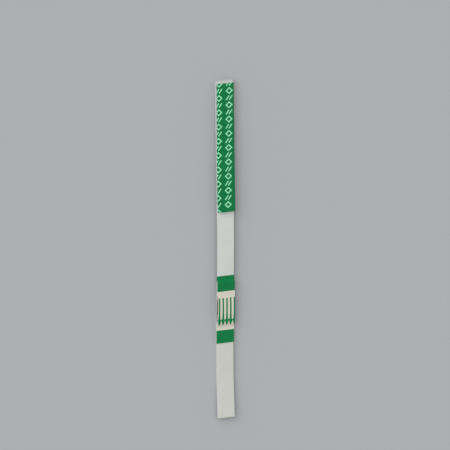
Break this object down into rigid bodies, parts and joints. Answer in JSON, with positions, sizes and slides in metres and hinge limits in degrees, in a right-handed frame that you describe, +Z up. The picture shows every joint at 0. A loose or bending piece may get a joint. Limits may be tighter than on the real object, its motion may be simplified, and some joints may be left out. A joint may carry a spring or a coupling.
{
  "type": "lateral flow test strip",
  "caption": "Thin laminated test strip: card, membrane, conjugate, sample and absorbent pads, marker tape with arrows and a green handle film.",
  "frame": {"origin": "middle of the strip, on the bench that its card rests on", "axes": "+Y along the strip towards the handle end, +X across it, +Z up through the layers"},
  "size_m": [0.004, 0.08, 0.0023],
  "materials": {
    "white_card": "satin white plastic card",
    "white_membrane": "smooth matt white membrane",
    "glass_fibre": "matt off-white glass fibre",
    "sample_fibre": "matt white fibre pad",
    "wick_fibre": "matt white blotting paper",
    "cream_film": "cream printed film, slight sheen",
    "green_film": "green printed film, slight sheen",
    "green_ink": "green print",
    "white_ink": "pale print"
  },
  "bodies": {
    "root": {"backing_card": "white_card", "membrane": "white_membrane", "conjugate_pad": "glass_fibre", "sample_pad": "sample_fibre", "absorbent_pad": "wick_fibre", "marker_tape": "cream_film", "handle_film": "green_film", "lower_band_print": "green_ink", "upper_band_print": "green_ink", "arrow_print": "green_ink", "handle_marks_print": "white_ink"}
  },
  "joints": []
}
